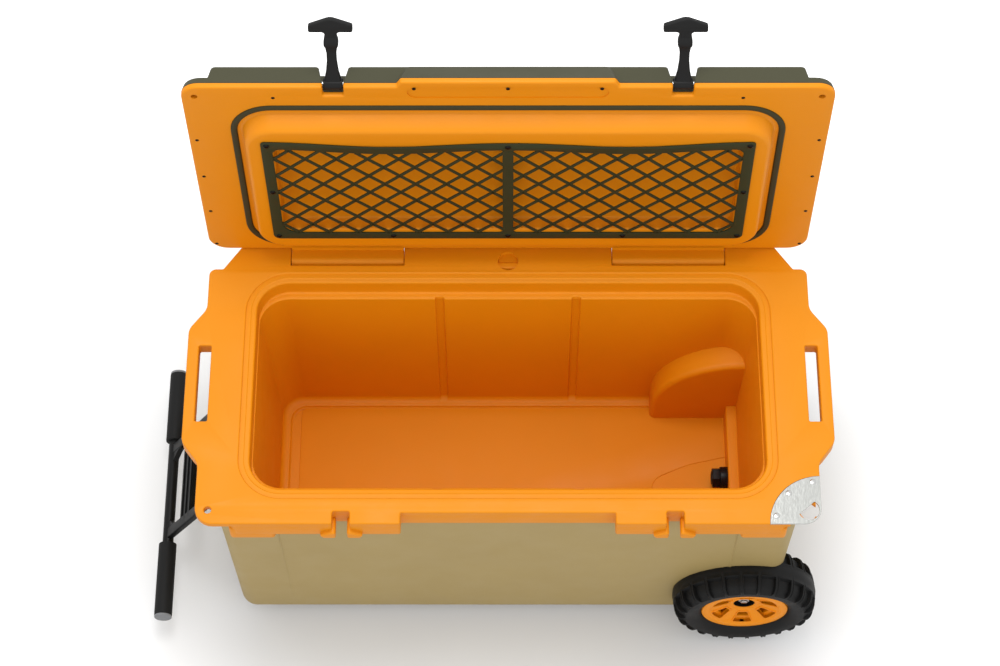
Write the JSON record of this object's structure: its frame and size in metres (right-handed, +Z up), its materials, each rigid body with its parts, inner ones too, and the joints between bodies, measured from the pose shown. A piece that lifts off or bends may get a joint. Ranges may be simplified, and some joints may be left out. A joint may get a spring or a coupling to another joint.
{
  "type": "wheeled hard cooler",
  "caption": "Hard cooler with an open hinged lid, cargo net, rubber T latches, tow handle, lugged wheels, drain and bottle opener.",
  "frame": {"origin": "bottom centre of the bounding box, with the lid open and the tow handle down", "axes": "+X towards the end with the wheels, +Y from the latch side to the hinge, +Z up"},
  "size_m": [0.9778, 0.5006, 0.9174],
  "materials": {
    "tan_plastic": "fine-grained rotomoulded polyethylene",
    "orange_plastic": "fine-grained polyethylene",
    "olive_plastic": "fine-grained rotomoulded polyethylene",
    "dark_olive_rubber": "soft matt rubber",
    "foam_white": "rigid polyurethane foam, hidden",
    "black_plastic": "moulded nylon",
    "black_rubber": "matt rubber",
    "tyre_rubber": "matt tyre rubber",
    "grey_plastic": "smooth plastic",
    "bare_steel": "bright stainless steel",
    "dark_steel": "blackened steel"
  },
  "bodies": {
    "tub": {"outer_shell": "tan_plastic", "body_foam": "foam_white", "liner_floor": "orange_plastic", "liner_left_wall": "orange_plastic", "liner_front_wall": "orange_plastic", "liner_back_wall": "orange_plastic", "liner_front_bump": "orange_plastic", "liner_rear_bump": "orange_plastic", "liner_step": "orange_plastic", "liner_right_wall": "orange_plastic", "rim_front": "orange_plastic", "rim_back": "orange_plastic", "rim_left": "orange_plastic", "rim_right": "orange_plastic", "opener_plate": "bare_steel", "opener_screw_1": "bare_steel", "opener_screw_2": "bare_steel", "opener_screw_3": "bare_steel", "hinge_pin": "dark_steel", "drain_body": "black_plastic", "drain_nut": "black_plastic", "tow_bracket": "black_plastic", "tow_pin_front": "bare_steel", "tow_pin_rear": "bare_steel", "axle_bolt_front": "bare_steel", "axle_bolt_rear": "bare_steel", "axle_washer_front": "bare_steel", "axle_washer_rear": "bare_steel", "foot_front": "black_rubber", "foot_rear": "black_rubber"},
    "lid": {"lid_shell": "olive_plastic", "lid_foam": "foam_white", "lid_liner": "orange_plastic", "lid_gasket": "dark_olive_rubber", "cargo_net": "dark_olive_rubber", "latch_pin_left": "bare_steel", "latch_pin_right": "bare_steel", "net_screw_1": "dark_steel", "net_screw_2": "dark_steel", "net_screw_3": "dark_steel", "net_screw_4": "dark_steel", "net_screw_5": "dark_steel", "net_screw_6": "dark_steel", "net_screw_7": "dark_steel", "net_screw_8": "dark_steel", "net_screw_9": "dark_steel", "net_screw_10": "dark_steel"},
    "left_latch": {"latch_left": "black_rubber"},
    "right_latch": {"latch_right": "black_rubber"},
    "tow_handle": {"tow_yoke": "black_plastic", "grip_front": "black_rubber", "grip_rear": "black_rubber", "grip_cap_front": "grey_plastic", "grip_cap_rear": "grey_plastic"},
    "front_wheel": {"tyre_front": "tyre_rubber", "hub_front": "orange_plastic"},
    "rear_wheel": {"tyre_rear": "tyre_rubber", "hub_rear": "orange_plastic"},
    "drain_washer": {"drain_seal": "black_rubber"},
    "drain_stopper": {"drain_cap": "black_plastic"}
  },
  "joints": [
    {"name": "lid_hinge", "type": "hinge", "parent": "tub", "child": "lid", "pos_m": [0.0374, 0.16741, 0.424], "axis": [1, 0, 0], "range_deg": [0, 92]},
    {"name": "left_latch_pivot", "type": "hinge", "parent": "lid", "child": "left_latch", "pos_m": [-0.1891, 0.20642, 0.82458], "axis": [1, 0, 0], "range_deg": [-50, 112]},
    {"name": "right_latch_pivot", "type": "hinge", "parent": "lid", "child": "right_latch", "pos_m": [0.2639, 0.20642, 0.82458], "axis": [1, 0, 0], "range_deg": [-50, 112]},
    {"name": "tow_handle_pivot", "type": "hinge", "parent": "tub", "child": "tow_handle", "pos_m": [-0.3746, -0.02929, 0.345], "axis": [0, 1, 0], "range_deg": [0, 125]},
    {"name": "front_wheel_spin", "type": "hinge", "parent": "tub", "child": "front_wheel", "pos_m": [0.3839, -0.20929, 0.105], "axis": [0, 1, 0], "continuous": true},
    {"name": "rear_wheel_spin", "type": "hinge", "parent": "tub", "child": "rear_wheel", "pos_m": [0.3839, 0.14171, 0.105], "axis": [0, 1, 0], "continuous": true},
    {"name": "drain_cap_lift", "type": "slide", "parent": "tub", "child": "drain_washer", "axis": [1, 0, 0], "range_m": [0, 0.0076]},
    {"name": "drain_cap_turn", "type": "hinge", "parent": "drain_washer", "child": "drain_stopper", "pos_m": [0.4124, -0.03429, 0.12], "axis": [1, 0, 0], "range_deg": [0, 900]}
  ],
  "couplings": [
    {"joint": "drain_cap_lift", "follows": "drain_cap_turn", "m_per_rad": 0.00047746}
  ]
}
